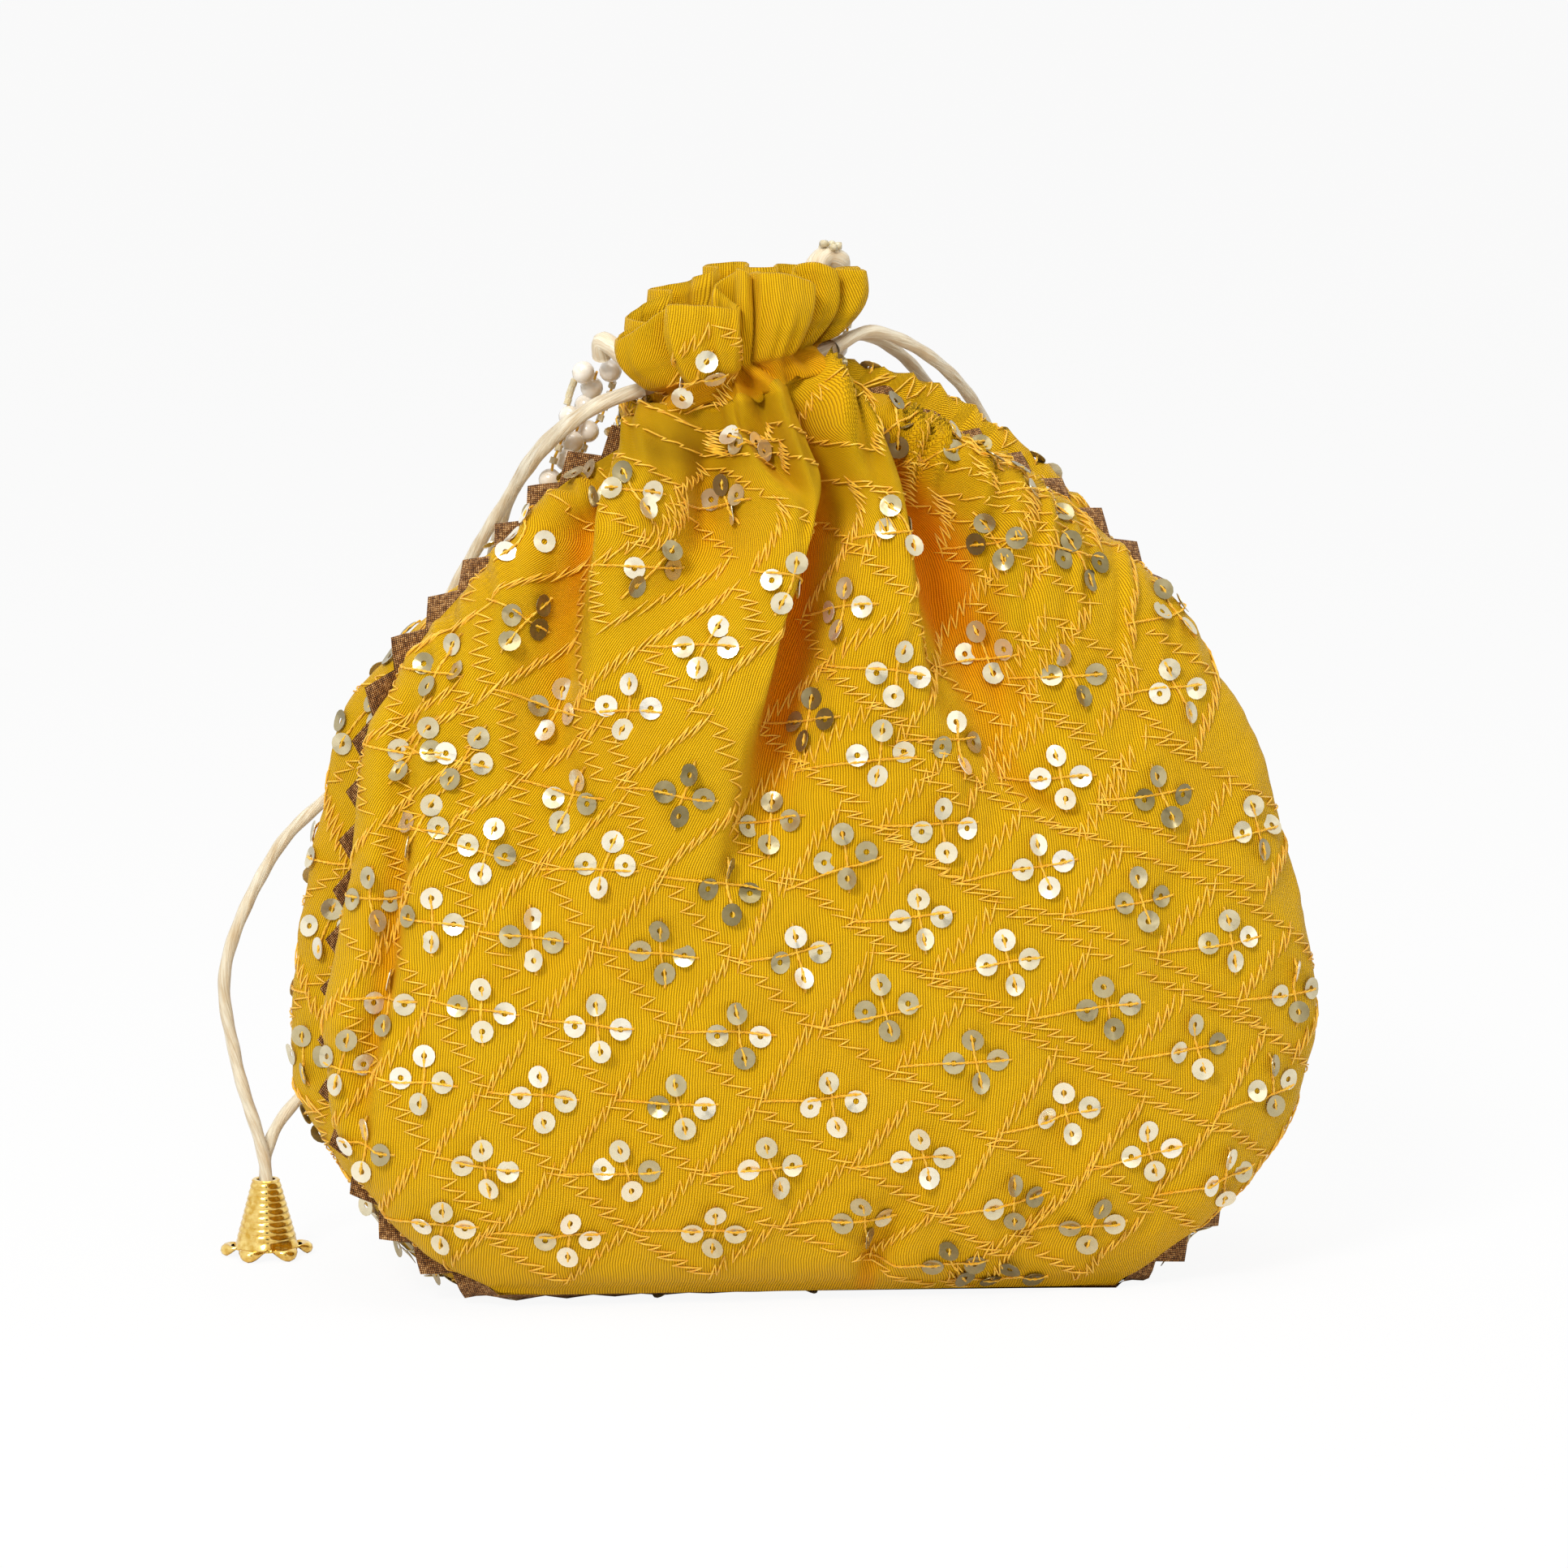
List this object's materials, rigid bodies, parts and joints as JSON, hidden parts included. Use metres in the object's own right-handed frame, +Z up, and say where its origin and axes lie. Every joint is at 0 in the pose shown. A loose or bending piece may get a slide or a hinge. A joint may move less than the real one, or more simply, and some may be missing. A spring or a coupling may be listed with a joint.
{
  "type": "potli bag",
  "caption": "Small stuffed drawstring pouch of embroidered cloth with a ruffled neck, pointed ribbon in the seam, cords ending in bells and a beaded handle.",
  "frame": {"origin": "on the flat underside of the bag where it stands, under the middle of its body", "axes": "+Z up, -Y out of the bag's front, X across it with the left bell at -X"},
  "size_m": [0.2236, 0.1106, 0.2126],
  "materials": {
    "cloth": "ribbed woven cloth with a soft sheen",
    "ribbon": "bronze metallic woven ribbon",
    "satin": "cream satin cord",
    "gold": "polished gold plate",
    "pearl": "pearl lustre",
    "bead": "clear and silver-lined beads"
  },
  "bodies": {
    "root": {"front_panel": "cloth", "back_panel": "cloth", "casing_band": "cloth", "ribbon_trim": "ribbon", "left_drawstring": "satin", "right_drawstring": "satin", "left_bell": "gold", "right_bell": "gold", "left_knot": "satin", "right_knot": "satin", "handle_left_string": "bead", "handle_middle_string": "pearl", "handle_right_string": "bead", "handle_left_loop": "satin", "handle_right_loop": "satin"}
  },
  "joints": []
}
